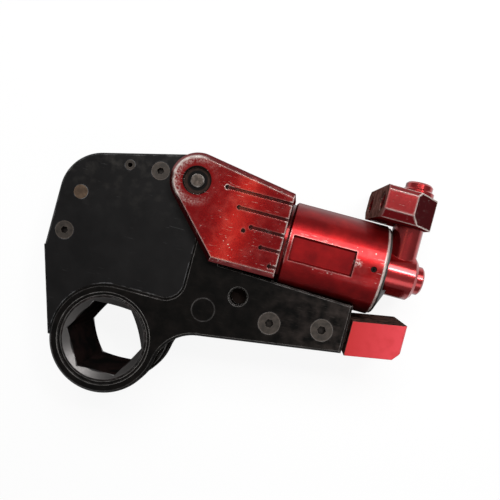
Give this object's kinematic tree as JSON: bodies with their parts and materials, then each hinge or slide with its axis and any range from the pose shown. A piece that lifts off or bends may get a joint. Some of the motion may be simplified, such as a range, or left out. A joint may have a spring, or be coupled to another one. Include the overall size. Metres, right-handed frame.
{
  "type": "hydraulic torque wrench",
  "caption": "Low-profile hydraulic torque wrench: ratchet link with a through hexagon, pinned power head with piston and lever, swivelling hose block and reaction pad.",
  "frame": {"origin": "centre of the hexagon, on its axis and halfway across the link", "axes": "+X along the cylinder axis towards its rear, +Y from the hexagon towards the hose swivel, +Z along the hexagon's axis; the wrench lies on its side"},
  "size_m": [0.2315, 0.1765, 0.0583],
  "materials": {
    "plate_black": "black oxide steel, scuffed",
    "shroud_black": "black hard-anodised plate, scratched",
    "pad_red": "red paint over steel, chipped",
    "anodised_red": "red anodised, worn bare along the edges",
    "hex_steel": "dark oiled steel",
    "tool_steel": "ground",
    "screw_steel": "dark oxide, rubbed",
    "rivet_bronze": "tarnished",
    "cap_steel": "dark oiled steel",
    "spring_steel": "wire",
    "rod_chrome": "hard chrome",
    "bronze": "machined",
    "guide_resin": "woven resin",
    "seal_black": "matte"
  },
  "bodies": {
    "frame": {"side_plate_front": "plate_black", "side_plate_back": "plate_black", "shroud_front": "shroud_black", "shroud_back": "shroud_black", "shroud_rim": "shroud_black", "shroud_screws": "screw_steel", "shroud_rivet": "rivet_bronze", "shroud_roll_pins": "screw_steel", "reaction_pad": "pad_red", "arm_screws": "screw_steel", "holding_pawl_pin": "plate_black", "holding_pawl_spring": "spring_steel", "cylinder_body": "anodised_red", "rod_wiper": "seal_black", "rod_seal": "seal_black", "rod_gland": "bronze", "end_cap": "cap_steel", "end_cap_ring": "seal_black", "end_cap_screw": "screw_steel", "hub_seals": "seal_black", "hub_nut": "anodised_red"},
    "rod": {"piston": "tool_steel", "piston_seal": "seal_black", "wear_ring": "guide_resin", "piston_rod": "rod_chrome", "piston_nut": "screw_steel", "rod_end": "tool_steel"},
    "lever": {"lever_plate_front": "tool_steel", "lever_plate_back": "tool_steel", "lever_rivets": "tool_steel", "lever_pin": "tool_steel", "pawl_housing": "tool_steel", "pawl_springs": "spring_steel"},
    "drive_pawl": {"drive_pawl": "tool_steel"},
    "hex_ratchet": {"hex_ratchet": "hex_steel"},
    "holding_pawl": {"holding_pawl": "tool_steel"},
    "swivel_hub": {"swivel_hub": "anodised_red", "swivel_cap": "anodised_red", "block_seals": "seal_black"},
    "swivel_block": {"swivel_block": "anodised_red", "gallery_plugs": "screw_steel"},
    "link_pin": {"link_pin": "cap_steel", "pin_spindle": "tool_steel"}
  },
  "joints": [
    {"name": "piston_slide", "type": "slide", "parent": "frame", "child": "rod", "axis": [-1, 0, 0], "range_m": [0, 0.034]},
    {"name": "lever_swing", "type": "hinge", "parent": "frame", "child": "lever", "pos_m": [0, 0, 0], "axis": [0, 0, 1], "range_deg": [0, 23.3]},
    {"name": "hex_index", "type": "hinge", "parent": "lever", "child": "hex_ratchet", "pos_m": [0, 0, 0], "axis": [0, 0, 1], "continuous": true},
    {"name": "drive_pawl_lift", "type": "slide", "parent": "lever", "child": "drive_pawl", "axis": [0.2018, 0.9794, 0], "range_m": [0, 0.003], "stiffness_N_per_m": 1200, "springref_m": -0.002, "deforming": ["pawl_springs"]},
    {"name": "holding_pawl_lift", "type": "hinge", "parent": "frame", "child": "holding_pawl", "pos_m": [0.0538, 0.0324, 0], "axis": [0, 0, -1], "range_deg": [0, 13.7]},
    {"name": "swivel_hub_turn", "type": "hinge", "parent": "frame", "child": "swivel_hub", "pos_m": [0.1654, 0.0825, 0], "axis": [1, 0, 0], "range_deg": [-90, 90]},
    {"name": "swivel_block_turn", "type": "hinge", "parent": "swivel_hub", "child": "swivel_block", "pos_m": [0.1654, 0.1241, 0], "axis": [0, 1, 0], "continuous": true},
    {"name": "link_pin_pull", "type": "slide", "parent": "frame", "child": "link_pin", "axis": [0, 0, 1], "range_m": [0, 0.058]}
  ],
  "couplings": [
    {"joint": "lever_swing", "follows": "piston_slide", "rad_per_m": 11.954},
    {"joint": "holding_pawl_lift", "follows": "piston_slide", "rad_per_m": 7}
  ]
}
